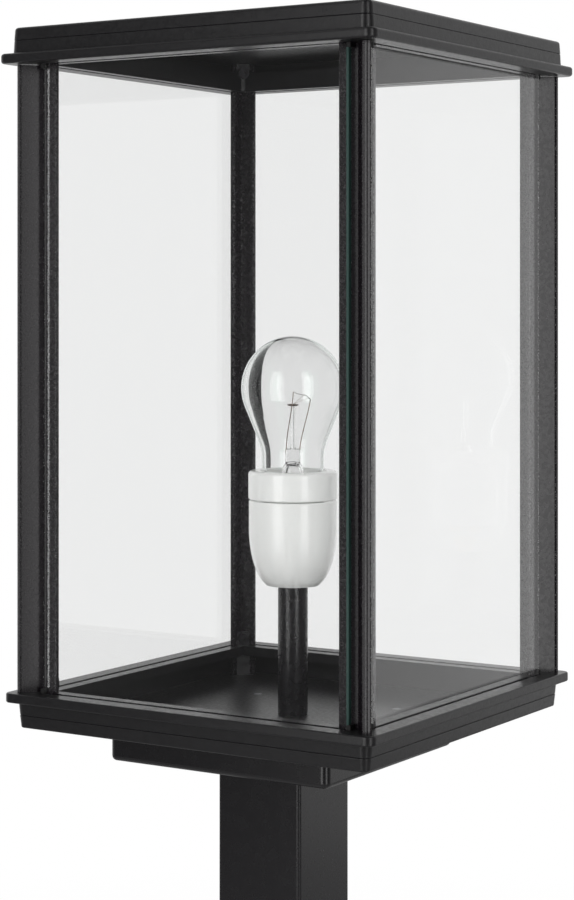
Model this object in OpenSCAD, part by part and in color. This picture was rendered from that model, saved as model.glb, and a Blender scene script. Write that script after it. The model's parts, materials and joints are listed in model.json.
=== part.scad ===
// Post-top garden lantern: a glazed square head with one lamp, on a short square column.
// Millimetres, +Z up, origin on the ground under the middle of the head.
// The wide face in the reference view looks to -Y, the narrow one to +X.

/* [Column and base] */
// Height from the ground to the top of the roof
total_h = 800; // [650:10:1200]
// Side of the square base flange
flange_w = 140; // [135:5:200]
// Thickness of the base flange
flange_t = 6; // [5:1:12]
// Corner radius of the base flange
flange_r = 8; // [3:1:20]
// Distance between neighbouring anchor holes
anchor_pitch = 105; // [95:1:108]
// Diameter of an anchor hole
anchor_d = 9; // [6:0.5:12]
// Diameter of the cable entry in the base flange
cable_hole_d = 32; // [16:1:40]
// Side of the square column
column_w = 56; // [50:1:70]
// Wall thickness of the column
column_wall = 3; // [2:0.5:5]
// Corner radius of the column
column_r = 2; // [1:0.5:5]
// Sideways distance of the column's axis from the head's axis
column_off_x = -6.5; // [-7:0.1:7]
// Distance of the column's axis behind the head's axis
column_off_y = -1.3; // [-7:0.1:7]

/* [Neck] */
// Side of the square box between column and head
neck_w = 147; // [136:1:180]
// Height of the neck box
neck_h = 22; // [18:1:40]
// Wall thickness of the neck box
neck_wall = 2.5; // [1.5:0.5:4]
// Radius of the neck box's vertical corners
neck_r = 4; // [3.5:0.5:10]
// Radius of the neck box's lower edge
neck_edge_r = 3; // [1:0.5:3.5]
// Side of the plate welded on the column that carries the head
plate_w = 120; // [116:1:126]
// Thickness of the head plate
plate_t = 5; // [3:0.5:8]
// Distance between neighbouring studs under the tray
stud_pitch = 94; // [84:1:100]
// Diameter of a tray stud
stud_d = 5; // [4:1:6]

/* [Head] */
// Clear height of the glazed opening, from the tray's lip to the roof's lip
glazed_h = 360; // [260:5:480]
// Width over the outer planes of the corner posts
frame_w = 232; // [200:1:280]

/* [Floor tray] */
// How far the tray's lip stands out beyond the posts
tray_lip_out = 5.5; // [3:0.1:10]
// Height of the tray's lip
tray_lip_h = 5.5; // [4:0.5:8]
// Radius of the tray lip's long edges
tray_lip_r = 1; // [0.5:0.1:1.8]
// Height of each band under the tray's lip
tray_band_h = 7.4; // [5:0.1:12]
// Thickness of the tray's floor
floor_t = 1.5; // [1:0.5:4]
// Thickness of the tray's side wall
tray_wall = 3; // [2.5:0.5:4]
// How far the tray's upper band stands out beyond the posts
tray_band_out = 0.3; // [-1:0.1:2]

/* [Roof] */
// How far the roof's lip stands out beyond the posts
roof_lip_out = 7.5; // [5:0.1:12]
// Height of the roof's lip
roof_lip_h = 5.8; // [4:0.1:8]
// Radius of the roof lip's long edges
roof_lip_r = 1.7; // [0.5:0.1:1.9]
// Height of each band above the roof's lip
roof_band_h = 7.6; // [6:0.1:12]
// How far the roof's bands stand out beyond the posts
roof_band_out = 2.4; // [0:0.1:4]
// Thickness of the roof plate
roof_t = 3; // [2:0.5:5]
// Radius of the roof's top edge
roof_edge_r = 2; // [1:0.5:2]
// Thickness of the roof's side wall
roof_wall = 4; // [3:0.5:5]

/* [Mouldings] */
// Radius of the vertical corners of lips and bands
corner_r = 5; // [3:0.5:8]
// Radius of the edges of lips and bands
band_edge_r = 0.5; // [0.3:0.1:1]
// Inward lean of each roof band over its height
roof_draft = 0.4; // [0:0.1:0.4]
// Inward lean of each tray band over its height
tray_draft = 0.7; // [0:0.1:0.8]

/* [Corner posts] */
// Width of the nose at the post's outer corner
nose_w = 2.7; // [2:0.1:4]
// Depth of the small step beside the nose
nose_side = 1.2; // [0.5:0.1:1.8]
// Width of the small step beside the nose
nose_step = 0.5; // [0.2:0.1:1]
// Distance from the outer corner to the start of the glass rebate
rebate_start = 10.1; // [8:0.1:11]
// Thickness of the web between the nose and the legs
web_t = 1.8; // [1:0.1:1.9]
// Distance from the outer corner to the end of a leg
leg_end = 22.5; // [19:0.5:30]
// Thickness of a leg
leg_t = 3; // [2:0.2:4]
// Radius of the post's edges
post_edge_r = 0.8; // [0.2:0.1:0.9]

/* [Glass panes] */
// Thickness of a pane
pane_t = 4.5; // [4:0.5:6]
// Depth of a pane's outer surface behind the posts' outer planes
pane_depth = 5.5; // [4.8:0.1:7]
// Distance from the outer corner to the edge of a pane
pane_side = 16; // [13:0.5:18]
// Gap between a pane and the legs behind it
pane_back_gap = 0.3; // [0.2:0.1:1]
// Gap between a pane and the walls of its channel
channel_gap = 0.5; // [0.3:0.1:1]
// Depth of the channel in the tray
tray_channel_d = 4; // [3:0.5:6]
// Depth of the channel in the roof
roof_channel_d = 10; // [9:0.5:13]
// How far a pane reaches into the roof's channel at rest
pane_reach = 5; // [4:0.5:5.5]
// Thickness of the rubber strip under a pane
cushion_t = 0.8; // [0.5:0.1:1.5]
// Width of the tray's ledge inside the channel
tray_ledge_w = 7; // [5:0.5:10]
// Width of the roof's ledge inside the channel
roof_ledge_w = 5; // [4:0.5:10]
// Web between the channel's floor and the hollow behind it
channel_web = 2; // [1.5:0.5:3]
// Width of the rubber stops beside a pane's corners
stop_w = 2.4; // [1.5:0.1:3]
// How far the stops stand into the glazed opening
stop_up = 2.5; // [1:0.5:4]
// Size of the bevel on the panes' edges
pane_bevel = 0.5; // [0.2:0.1:0.8]

/* [Corner fixings] */
// Side of the three-cornered pillars cast in the tray and the roof
pillar_w = 6; // [5.5:0.5:7]
// How far a tray pillar stands above the lip
pillar_up = 9; // [8.5:0.5:12]
// Height of the lower corner screws above the tray's lip
low_screw_z = 4.6; // [4:0.1:4.8]
// Height of the upper corner screws above the roof's lip
high_screw_z = 12; // [9:0.5:13]
// Diameter of a corner screw
corner_screw_d = 4; // [3:0.5:5]

/* [Lamp stem] */
// Outer diameter of the stem
stem_d = 17.6; // [14:0.1:24]
// Wall thickness of the stem
stem_wall = 1.5; // [1:0.1:2.5]
// Visible length of the stem, from the floor to the lamp holder
stem_h = 76.1; // [50:0.1:120]
// Diameter of the threaded tube inside the stem
tube_d = 10; // [8:0.5:12]
// Bore of the threaded tube
tube_bore = 7; // [5:0.5:8]
// Length of threaded tube below the floor
tube_below = 12; // [10:1:14]

/* [Lamp holder] */
// Largest radius of the porcelain cup
cup_r = 25.9; // [24:0.1:30]
// Height of the porcelain cup
cup_h = 50; // [48:0.5:60]
// Radius of the cup's flat foot
cup_foot_r = 15.5; // [13:0.5:18]
// Radius of the porcelain ring
ring_r = 26.2; // [24:0.1:32]
// Height of the porcelain ring
ring_h = 17; // [14:0.5:22]
// Radius of the ring's mouth
mouth_r = 19.6; // [19:0.1:21]
// Gap seen between cup and ring
ring_gap = 0.4; // [0.2:0.1:1]
// Depth of the bulb's tip below the ring's mouth
tip_depth = 31; // [30:0.5:32]

/* [Bulb] */
// Diameter of the bulb's globe
globe_d = 60.8; // [56:0.2:66]
// Overall length of the bulb
bulb_len = 110; // [104:1:116]
// Diameter of the bulb's neck
neck_d = 36.4; // [32:0.2:38]
// Thickness of the bulb's glass
bulb_wall = 0.9; // [0.6:0.1:1.5]
// Diameter of the screw cap
cap_d = 26.2; // [26:0.1:26.4]
// Height of the screw cap's shell
cap_h = 22; // [20:0.5:23]
// Height of the globe's centre above the bulb's tip
globe_z = 79.5; // [74:0.5:84]

/* [Hidden] */

$fn = 48;
eps = 0.01;
// Gap where one piece only rests in another or slides on it
fit_gap = 0.3;
// Gap round a screw, a stud or a fixed sleeve
hole_gap = 0.1;
// Points on a rounded edge
edge_steps = 4;
// Height and half width of the heads of small screws
small_screw_r = 2;
small_head_h = 2.2;
small_head_r = 3.8;
// Socket of a round screw: width over the shank's radius, depth over the head's height
socket_w = 1.3;
socket_h = 0.65;
// How far a small screw or a blind hole stops short of the plate's far face
screw_short = 2;
blind_short = 1;

// Heights, from the ground up
tray_h = tray_lip_h + 2 * tray_band_h;
roof_h = roof_lip_h + 2 * roof_band_h;
roof_z = total_h;
eaves_z = roof_z - roof_h;
lip_z = eaves_z - glazed_h;
tray_z = lip_z - tray_h;
floor_z = tray_z + floor_t;
ceiling_z = roof_z - roof_t;
column_top = tray_z - plate_t;
neck_z = tray_z - neck_h;

// Half widths, from the lantern's axis
frame_half = frame_w / 2;
pane_out = frame_half - pane_depth;
pane_in = pane_out - pane_t;
leg_out = pane_in - pane_back_gap;
leg_in = leg_out - leg_t;
channel_out = pane_out + channel_gap;
channel_in = pane_in - channel_gap;
tray_ledge_in = channel_in - tray_ledge_w;
roof_ledge_in = channel_in - roof_ledge_w;
pane_half = frame_half - pane_side;
pane_low = lip_z - tray_channel_d + cushion_t;
pane_high = eaves_z + pane_reach;
pillar_out = leg_in - fit_gap;
pillar_in = pillar_out - pillar_w;
stud_at = stud_pitch / 2;
plate_half = plate_w / 2;
column_half = column_w / 2;

// Corner screws: seat of the head on the pillar's flat, and length of the shank inside the pillar
screw_seat = pillar_out - pillar_w / 2;
in_pillar = (pillar_out - screw_seat) * sqrt(2);
corner_screw_r = corner_screw_d / 2;
corner_head_r = corner_screw_d * 0.9;
corner_head_h = corner_screw_d * 0.55;
key_room = 1.5;

// Fixings in the neck
stud_washer_t = 1;
stud_nut_h = stud_d * 0.8;
stud_nut_w = stud_d * 1.6;
stud_over = 1.5;
stud_len = plate_t + stud_washer_t + stud_nut_h + stud_over;
washer_t = 1.5;
washer_r = tube_d * 0.95;
washer_room = 2;
tube_nut_h = 4;
tube_nut_w = tube_d * 1.4;
tube_over = 0.8;
bush_collar = 1.5;
bush_len = bush_collar + tube_d * 0.6;
bush_bore_r = tube_bore / 2 - 1;
neck_screw_z = column_top + plate_t / 2;
block_l = 30;
block_w = 14;
block_h = 9;
block_y = (column_half + plate_half) / 2;
block_bore_z = block_h * 0.65;
block_bore_r = small_screw_r * 0.8;
cable_slot_w = 14;

// Lamp holder and bulb
cup_z = floor_z + stem_h;
cup_floor = 5;
cup_well = 18;
cup_well_r = 12;
cup_wall = 4.4;
cup_bore_r = cup_r - cup_wall;
cup_bend_h = cup_h * 0.66;
cup_bend_cut = 0.95;
cup_rim_r = 1;
cup_well_slope = 3;
ring_radii = [0.5, 1.2, 2.2, 1.2];
ring_z = cup_z + cup_h + ring_gap;
mouth_z = ring_z + ring_h;
tip_z = mouth_z - tip_depth;
cap_drop = 3.8;
cap_z = tip_z + cap_drop;
cap_top = cap_z + cap_h;
cap_wall = 0.5;
cap_r = cap_d / 2;
globe_c = tip_z + globe_z;
shell_r = cap_r + fit_gap;
shell_t = 0.5;
contact_room = 6;
contact_t = 0.5;
contact_w = 5;
contact_half = 8;
contact_arm = 4;
contact_bend = 1;
terminal_x = 7;
terminal_w = 6;
terminal_screw_r = 1.5;
terminal_head_r = 2.6;
terminal_head_h = 1.4;
terminal_slot_w = 0.8;
wire_hole_r = 1;
wire_hole_up = terminal_w * 0.75;
terminal_bore_h = terminal_w * 0.6;
insert_sunk = 3;
shell_low = 2;
shell_short = 4;
tip_t = 1.2;
tip_r = 4.8;
tip_round = 0.5;
insulator_lip = 0.4;
insulator_in = 2.1;
insulator_edge = 0.6;
insulator_plug = 2;
globe_bend = 22;
neck_blend = 5.5;
seat_h = 7;
seat_mid = [1.2, 4.4];
seat_low = [2, 1.6];
glass_tail_r = cap_r - cap_wall - hole_gap;
flare_r = glass_tail_r - bulb_wall;
glass_tail = 12;
glass_foot = cap_top - glass_tail;
pinch_below = 36;
pinch_top = globe_c - pinch_below;
pinch_h = 9;
pinch_w = 8.6;
rod_below = 10.4;
rod_top = globe_c - rod_below;
rod_r = 0.9;
button_r = 2.4;
lead_r = 0.35;
support_r = 0.25;
filament_r = 0.3;
lead_x = 4;
mount_angle = 32;
filament_arc_r = 10.4;
filament_below = 4;
filament_z = globe_c - filament_below;
filament_from = -88;
filament_sweep = 98;
filament_mid = -40;
filament_tilt = -22;

// Colours
black = "#26262a";
zinc = "#9a9da0";
porcelain = "#eef1ee";
brass = "#b59a55";
nickel = "#b9bbb8";
clear = [0.75, 0.86, 0.83, 0.35];

// Outline with each corner rounded to its own radius
function rounded(pts, radii, n = edge_steps) = [for (i = [0 : len(pts) - 1])
    let (a = pts[(i + len(pts) - 1) % len(pts)], b = pts[i], c = pts[(i + 1) % len(pts)],
        u = (a - b) / norm(a - b), v = (c - b) / norm(c - b), r = radii[i], half = acos(u * v) / 2,
        mid = b + (u + v) / norm(u + v) * r / sin(half), p = b + u * r / tan(half) - mid,
        q = b + v * r / tan(half) - mid, from = atan2(p[1], p[0]), sweep = atan2(q[1], q[0]) - from,
        turn = sweep > 180 ? sweep - 360 : sweep < -180 ? sweep + 360 : sweep)
    each r > 0 ? [for (k = [0 : n]) mid + r * [cos(from + turn * k / n), sin(from + turn * k / n)]] : [b]];

// Square outline with rounded corners, centred on the axis
function square_outline(w, r) =
    rounded([[-w / 2, -w / 2], [w / 2, -w / 2], [w / 2, w / 2], [-w / 2, w / 2]], [r, r, r, r], 6);

// One band's edge from its foot to its top, as [inset, height], each end rounded
function band(low_in, high_in, low, high, foot_r, top_r) = concat(
    [for (k = [0 : edge_steps]) let (a = 90 - 90 * k / edge_steps)
        [low_in + foot_r * (1 - cos(a)), low + foot_r * (1 - sin(a))]],
    [for (k = [0 : edge_steps]) let (a = 90 * k / edge_steps)
        [high_in + top_r * (1 - cos(a)), high - top_r * (1 - sin(a))]]);

// Four copies, one for each side or corner of the head
module four() {
    for (k = [0 : 3]) rotate(90 * k) children();
}

// Square block whose sides carry a moulding, outline as [inset, height] from foot to top
module moulded_block(w, r, outline) {
    mid = w / 2 - r;
    low = outline[0][1];
    high = outline[len(outline) - 1][1];
    section = concat([[0, low]], [for (p = outline) [r - p[0], p[1]]], [[0, high]]);
    four() {
        translate([mid, mid, 0]) rotate_extrude(angle = 90) polygon(section);
        translate([mid, mid, 0]) rotate([90, 0, 0]) linear_extrude(2 * mid) polygon(section);
    }
    translate([-mid, -mid, low]) cube([2 * mid, 2 * mid, high - low]);
}

// Square prism centred on the axis
module block(half, low, high) {
    translate([-half, -half, low]) cube([2 * half, 2 * half, high - low]);
}

// Upright hexagonal prism, by its width over flats
module hex(flats, h) {
    cylinder(h = h, r = flats / sqrt(3), $fn = 6);
}

// Nut with its hole
module nut(flats, h, bore) {
    difference() {
        hex(flats, h);
        translate([0, 0, -eps]) cylinder(h = h + 2 * eps, r = bore);
    }
}

// Tube whose ends lie square to its axis
module tube(r_out, r_in, h) {
    difference() {
        cylinder(h = h, r = r_out);
        translate([0, 0, -eps]) cylinder(h = h + 2 * eps, r = r_in);
    }
}

// Round-headed screw, head down, with a hexagon socket
module round_screw(head_r, head_h, shank_r, shank) {
    difference() {
        union() {
            cylinder(h = head_h, r = head_r);
            cylinder(h = head_h + shank, r = shank_r);
        }
        translate([0, 0, -eps]) hex(shank_r * socket_w, head_h * socket_h);
    }
}

// Sets its children on the column's axis
module on_column() {
    translate([column_off_x, column_off_y, 0]) children();
}

// Base and column

module base_flange() {
    color(black) on_column() difference() {
        linear_extrude(flange_t) polygon(square_outline(flange_w, flange_r));
        translate([0, 0, -eps]) cylinder(h = flange_t + 2 * eps, r = cable_hole_d / 2);
        four() translate([anchor_pitch / 2, anchor_pitch / 2, -eps])
            cylinder(h = flange_t + 2 * eps, r = anchor_d / 2);
    }
}

// Square tube with a slot on its back, where the cable comes out to the terminal block
module column_tube() {
    long = column_top - flange_t;
    color(black) on_column() translate([0, 0, flange_t]) difference() {
        linear_extrude(long) polygon(square_outline(column_w, column_r));
        translate([0, 0, -eps]) linear_extrude(long + 2 * eps)
            polygon(square_outline(column_w - 2 * column_wall, column_r / 2));
        translate([-cable_slot_w / 2, 0, long - block_h]) cube([cable_slot_w, column_w, block_h - column_wall]);
    }
}

module head_plate() {
    color(black) on_column() difference() {
        translate([0, 0, column_top]) linear_extrude(plate_t) polygon(square_outline(plate_w, corner_r));
        translate([-column_off_x, -column_off_y, column_top - eps])
            cylinder(h = plate_t + 2 * eps, r = washer_r + washer_room);
        four() translate([stud_at, stud_at, column_top - eps])
            cylinder(h = plate_t + 2 * eps, r = stud_d / 2 + fit_gap);
        for (k = [-1, 1]) translate([0, k * block_y, column_top - eps])
            cylinder(h = plate_t - blind_short, r = small_screw_r + hole_gap);
    }
}

// Cover that slides up the column and hides the plate, its nuts and the terminal block
module neck_box() {
    color(black) on_column() difference() {
        moulded_block(neck_w, neck_r, band(0, 0, neck_z, tray_z - fit_gap, neck_edge_r, fit_gap));
        block(neck_w / 2 - neck_wall, neck_z + neck_wall, tray_z);
        translate([0, 0, neck_z - eps]) linear_extrude(neck_wall + 2 * eps)
            polygon(square_outline(column_w + 2 * fit_gap, column_r));
        translate([0, neck_w / 2 - neck_wall - eps, neck_screw_z]) rotate([-90, 0, 0])
            cylinder(h = neck_wall + 2 * eps, r = small_screw_r + hole_gap);
    }
}

// Socket set screw through the cover's back wall, its tip on the plate's edge
module neck_set_screw() {
    from = plate_half + fit_gap;
    long = neck_w / 2 - from;
    color(zinc) on_column() translate([0, from, neck_screw_z]) rotate([-90, 0, 0]) difference() {
        cylinder(h = long, r = small_screw_r);
        translate([0, 0, long - small_head_h]) hex(small_screw_r, small_head_h + eps);
    }
}

module tray_studs() {
    color(zinc) on_column() four() translate([stud_at, stud_at, tray_z - stud_len])
        cylinder(h = stud_len + floor_t, r = stud_d / 2);
}

module stud_nuts() {
    nut_z = column_top - stud_washer_t - stud_nut_h;
    color(zinc) on_column() four() translate([stud_at, stud_at, nut_z]) {
        nut(stud_nut_w, stud_nut_h, stud_d / 2 + hole_gap);
        translate([0, 0, stud_nut_h]) tube(stud_d, stud_d / 2 + hole_gap, stud_washer_t);
    }
}

// Two-way screw terminal with wire holes along Y and screw wells from below
module terminal_block() {
    color("#e8e6df") on_column() translate([0, block_y, column_top - block_h]) difference() {
        translate([-block_l / 2, -block_w / 2, 0]) cube([block_l, block_w, block_h]);
        for (k = [-1, 1]) translate([k * block_l / 3, 0, 0]) {
            translate([0, 0, -eps]) cylinder(h = block_bore_z, r = small_screw_r);
            translate([0, -block_w / 2 - eps, block_bore_z]) rotate([-90, 0, 0])
                cylinder(h = block_w + 2 * eps, r = block_bore_r);
        }
        translate([0, 0, -eps]) cylinder(h = block_h + 2 * eps, r = small_screw_r + hole_gap);
    }
}

module block_screw() {
    color(zinc) on_column() translate([0, block_y, column_top - block_h - small_head_h])
        round_screw(small_head_r, small_head_h, small_screw_r, block_h + plate_t - screw_short);
}

module earth_screw() {
    color(brass) on_column() translate([0, -block_y, column_top - small_head_h])
        round_screw(small_head_r, small_head_h, small_screw_r, plate_t - screw_short);
}

// Floor tray and roof

// Channel that holds the foot or head of the pane on the -Y side
module pane_channel(low, high) {
    half = pane_half + hole_gap + stop_w;
    translate([-half, -channel_out, low]) cube([2 * half, channel_out - channel_in, high - low]);
}

// One leg of the post at the +X -Y corner, grown all round by a gap
module post_leg(low, high, gap) {
    translate([frame_half - leg_end - gap, -leg_out - gap, low])
        cube([leg_end + gap - frame_half + leg_out + gap, leg_t + 2 * gap, high - low]);
}

// Both legs of the post at the +X -Y corner
module post_legs(low, high, gap) {
    post_leg(low, high, gap);
    mirror([1, 1, 0]) post_leg(low, high, gap);
}

// Three-cornered pillar in the +X -Y corner, its flat towards the axis for the screw's head
module pillar(low, high) {
    translate([0, 0, low]) linear_extrude(high - low)
        polygon([[pillar_in, -pillar_out], [pillar_out, -pillar_out], [pillar_out, -pillar_in]]);
}

// Sets its children on the diagonal of the +X -Y corner, pointing outwards
module on_diagonal(distance, z) {
    translate([distance, -distance, z]) rotate([0, 0, -45]) rotate([0, 90, 0]) children();
}

// Shank hole of a corner screw, through a pillar
module corner_screw_hole(z) {
    on_diagonal(screw_seat, z) translate([0, 0, -corner_head_h])
        cylinder(h = corner_head_h + in_pillar + eps, r = corner_screw_r + hole_gap);
}

// Round pocket that frees a corner screw's head and the key that turns it
module corner_screw_pocket(z) {
    long = corner_head_h + key_room;
    on_diagonal(screw_seat, z) translate([0, 0, -long]) cylinder(h = long, r = corner_head_r + hole_gap);
}

module floor_tray() {
    band_half = frame_half + tray_band_out;
    hollow = band_half - 2 * tray_draft - tray_wall;
    ledge_low = lip_z - tray_channel_d - channel_web;
    low_band = band(2 * tray_draft, tray_draft, tray_z, tray_z + tray_band_h, 2 * band_edge_r, band_edge_r);
    high_band = band(tray_draft, 0, tray_z + tray_band_h, tray_z + 2 * tray_band_h, band_edge_r, band_edge_r);
    color(black) difference() {
        union() {
            difference() {
                union() {
                    moulded_block(2 * band_half, corner_r, concat(low_band, high_band));
                    moulded_block(frame_w + 2 * tray_lip_out, corner_r,
                        band(0, 0, lip_z - tray_lip_h, lip_z, tray_lip_r, tray_lip_r));
                }
                block(hollow, floor_z, ledge_low);
                block(tray_ledge_in, floor_z, lip_z + eps);
                four() pane_channel(lip_z - tray_channel_d, lip_z + eps);
                four() post_legs(floor_z, lip_z + eps, fit_gap);
                translate([0, 0, tray_z - eps]) cylinder(h = floor_t + 2 * eps, r = tube_d / 2 + hole_gap);
                on_column() four() translate([stud_at, stud_at, tray_z - eps])
                    cylinder(h = floor_t + 2 * eps, r = stud_d / 2 + hole_gap);
            }
            four() pillar(floor_z - eps, lip_z + pillar_up);
        }
        four() corner_screw_hole(lip_z + low_screw_z);
    }
}

module roof_cap() {
    band_half = frame_half + roof_band_out;
    hollow = band_half - 2 * roof_draft - roof_wall;
    ledge_high = eaves_z + roof_channel_d + channel_web;
    band_z = eaves_z + roof_lip_h;
    low_band = band(0, roof_draft, band_z, band_z + roof_band_h, band_edge_r, band_edge_r);
    high_band = band(roof_draft, 2 * roof_draft, band_z + roof_band_h, roof_z, band_edge_r, roof_edge_r);
    color(black) difference() {
        union() {
            difference() {
                union() {
                    moulded_block(2 * band_half, corner_r, concat(low_band, high_band));
                    moulded_block(frame_w + 2 * roof_lip_out, corner_r,
                        band(0, 0, eaves_z, band_z, roof_lip_r, roof_lip_r));
                }
                block(hollow, ledge_high, ceiling_z);
                block(roof_ledge_in, eaves_z - eps, ceiling_z);
                four() pane_channel(eaves_z - eps, eaves_z + roof_channel_d);
                four() post_legs(eaves_z - eps, ceiling_z, fit_gap);
            }
            four() pillar(eaves_z, ceiling_z + eps);
        }
        four() corner_screw_hole(eaves_z + high_screw_z);
        four() corner_screw_pocket(eaves_z + high_screw_z);
    }
}

// Corner posts

// Half of the post's outline, from the nose to the end of a leg, as [along, in] from the outer corner
function post_half() = let (in_d = frame_half - leg_out, splay = rebate_start - nose_w - nose_step,
        web = web_t / sqrt(2))
    [[nose_w, 0], [nose_w + nose_step, nose_side], [rebate_start, nose_side + splay],
        [rebate_start, rebate_start - web], [in_d + web, in_d], [leg_end, in_d], [leg_end, in_d + leg_t]];

function post_outline() = let (half = post_half(), back_d = frame_half - leg_in, n = len(half))
    concat([[0, 0]], half, [[back_d, back_d]], [for (i = [1 : n]) [half[n - i][1], half[n - i][0]]]);

function post_radii() = let (r = post_edge_r) [r, r, 0, r, 0, 0, r, r, r, r, r, 0, 0, r, 0, r];

// Post at the +X -Y corner: its full section between the lips, its legs alone in tray and roof
module post() {
    color(black) {
        translate([frame_half, -frame_half, lip_z]) mirror([1, 0, 0]) linear_extrude(glazed_h - fit_gap)
            polygon(rounded(post_outline(), post_radii(), 3));
        post_legs(floor_z + fit_gap, ceiling_z - fit_gap, 0);
    }
}

module post_front_right() { post(); }
module post_back_right() { rotate(90) post(); }
module post_back_left() { rotate(180) post(); }
module post_front_left() { rotate(-90) post(); }

// Screws that sit in the pillars and bear with a cone point on the posts' inner corners
module corner_screws(z) {
    color(zinc) four() on_diagonal(screw_seat, z) {
        translate([0, 0, -corner_head_h])
            round_screw(corner_head_r, corner_head_h, corner_screw_r, in_pillar - corner_screw_r);
        translate([0, 0, in_pillar - corner_screw_r]) cylinder(h = corner_screw_r, r1 = corner_screw_r, r2 = 0);
    }
}

module corner_screws_low() { corner_screws(lip_z + low_screw_z); }
module corner_screws_high() { corner_screws(eaves_z + high_screw_z); }

// Glass

module pane_cushions() {
    color("#1a1a1a") four() translate([-pane_half, -pane_out, lip_z - tray_channel_d])
        cube([2 * pane_half, pane_t, cushion_t]);
}

// Rubber blocks that fill the ends of the channels, two to a side
module stops(low, high) {
    color("#1a1a1a") four() for (k = [0, 1]) mirror([k, 0, 0])
        translate([pane_half + hole_gap / 2, -pane_out, low]) cube([stop_w, pane_t, high - low]);
}

module pane_stops() { stops(lip_z - tray_channel_d, lip_z + stop_up); }
module roof_stops() { stops(eaves_z - stop_up, eaves_z + roof_channel_d); }

// Pane on the -Y side with bevelled upright edges
module pane() {
    c = pane_bevel;
    color(clear) translate([0, -pane_out, pane_low]) linear_extrude(pane_high - pane_low)
        polygon([[c - pane_half, 0], [pane_half - c, 0], [pane_half, c], [pane_half, pane_t - c],
            [pane_half - c, pane_t], [c - pane_half, pane_t], [-pane_half, pane_t - c], [-pane_half, c]]);
}

module pane_front() { pane(); }
module pane_right() { rotate(90) pane(); }
module pane_back() { rotate(180) pane(); }
module pane_left() { rotate(-90) pane(); }

// Lamp stem

module stem_tube() {
    color(black) translate([0, 0, floor_z]) tube(stem_d / 2, stem_d / 2 - stem_wall, stem_h);
}

module threaded_tube() {
    low = tray_z - tube_below;
    high = cup_z + cup_floor + tube_nut_h + tube_over;
    color(brass) translate([0, 0, low]) tube(tube_d / 2, tube_bore / 2, high - low);
}

// Collared sleeve in the threaded tube's lower end, where the wires enter
module tube_bush() {
    color("white") translate([0, 0, tray_z - tube_below - bush_collar]) difference() {
        union() {
            cylinder(h = bush_collar, r = tube_d / 2);
            cylinder(h = bush_len, r = tube_bore / 2 - hole_gap);
        }
        translate([0, 0, -eps]) cylinder(h = bush_len + 2 * eps, r = bush_bore_r);
    }
}

module stem_washer() {
    color(zinc) translate([0, 0, tray_z - washer_t]) tube(washer_r, tube_d / 2 + hole_gap, washer_t);
}

module stem_nut() {
    color(zinc) translate([0, 0, tray_z - washer_t - tube_nut_h]) nut(tube_nut_w, tube_nut_h, tube_d / 2 + hole_gap);
}

module holder_nut() {
    color(brass) translate([0, 0, cup_z + cup_floor]) nut(tube_nut_w, tube_nut_h, tube_d / 2 + hole_gap);
}

// Lamp holder

// Outer radius of the cup at a height above its foot: straight above an elliptical foot
function cup_at(h) = let (a = (cup_r - cup_foot_r) / (1 - sqrt(1 - pow(cup_bend_cut, 2))))
    cup_r - a + a * sqrt(1 - pow((1 - h / cup_bend_h) * cup_bend_cut, 2));

module holder_cup() {
    steps = 14;
    hole_r = tube_d / 2 + hole_gap;
    foot = [for (k = [0 : steps]) let (h = cup_bend_h * k / steps) [cup_at(h), h]];
    outline = concat([[hole_r, 0]], foot,
        [[cup_r, cup_h - cup_rim_r], [cup_r - 0.3 * cup_rim_r, cup_h - 0.3 * cup_rim_r], [cup_r - cup_rim_r, cup_h],
            [cup_bore_r, cup_h], [cup_bore_r, cup_well], [cup_well_r, cup_well - cup_well_slope],
            [cup_well_r, cup_floor], [hole_r, cup_floor]]);
    color(porcelain) translate([0, 0, cup_z]) rotate_extrude($fn = 96) polygon(outline);
}

module holder_ring() {
    outline = rounded([[mouth_r, 0], [ring_r, 0], [ring_r, ring_h], [mouth_r, ring_h]], ring_radii);
    color(porcelain) translate([0, 0, ring_z]) rotate_extrude($fn = 96) polygon(outline);
}

// Porcelain body inside cup and ring that carries the contacts
module holder_insert() {
    foot_z = cup_z + cup_well + fit_gap;
    color("#e9e6da") difference() {
        union() {
            translate([0, 0, foot_z]) cylinder(h = ring_z - insert_sunk - foot_z, r = cup_bore_r - fit_gap);
            translate([0, 0, foot_z]) cylinder(h = cap_top - insert_sunk - foot_z, r = mouth_r - 2 * fit_gap);
        }
        translate([0, 0, tip_z - contact_room]) cylinder(h = bulb_len, r = shell_r + shell_t + hole_gap);
        for (k = [-1, 1]) translate([k * terminal_x, 0, foot_z - eps]) cylinder(h = bulb_len, r = wire_hole_r);
    }
}

module holder_shell() {
    low = cap_z + shell_low;
    color(brass) translate([0, 0, low]) tube(shell_r + shell_t, shell_r, cap_top - shell_short - low);
}

// Spring strip under the bulb's tip
module centre_contact() {
    top = contact_room - fit_gap;
    color(brass) translate([0, contact_w / 2, tip_z - contact_room]) rotate([90, 0, 0]) linear_extrude(contact_w)
        polygon([[-contact_half, 0], [contact_half, 0], [contact_half, contact_t], [-contact_arm, contact_t],
            [-contact_bend, top - contact_t], [contact_arm, top - contact_t], [contact_arm, top],
            [-contact_bend - contact_t, top], [-contact_arm - 2 * contact_t, 2 * contact_t],
            [-contact_half, contact_t]]);
}

module holder_terminals() {
    top = cup_z + cup_well + fit_gap;
    half = terminal_w / 2;
    color(brass) for (k = [-1, 1]) translate([k * terminal_x, 0, top - terminal_w]) difference() {
        translate([-half, -half, 0]) cube([terminal_w, terminal_w, terminal_w]);
        translate([0, -half - eps, wire_hole_up]) rotate([-90, 0, 0])
            cylinder(h = terminal_w + 2 * eps, r = wire_hole_r);
        translate([0, 0, -eps]) cylinder(h = terminal_bore_h, r = terminal_screw_r + hole_gap);
    }
}

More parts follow.
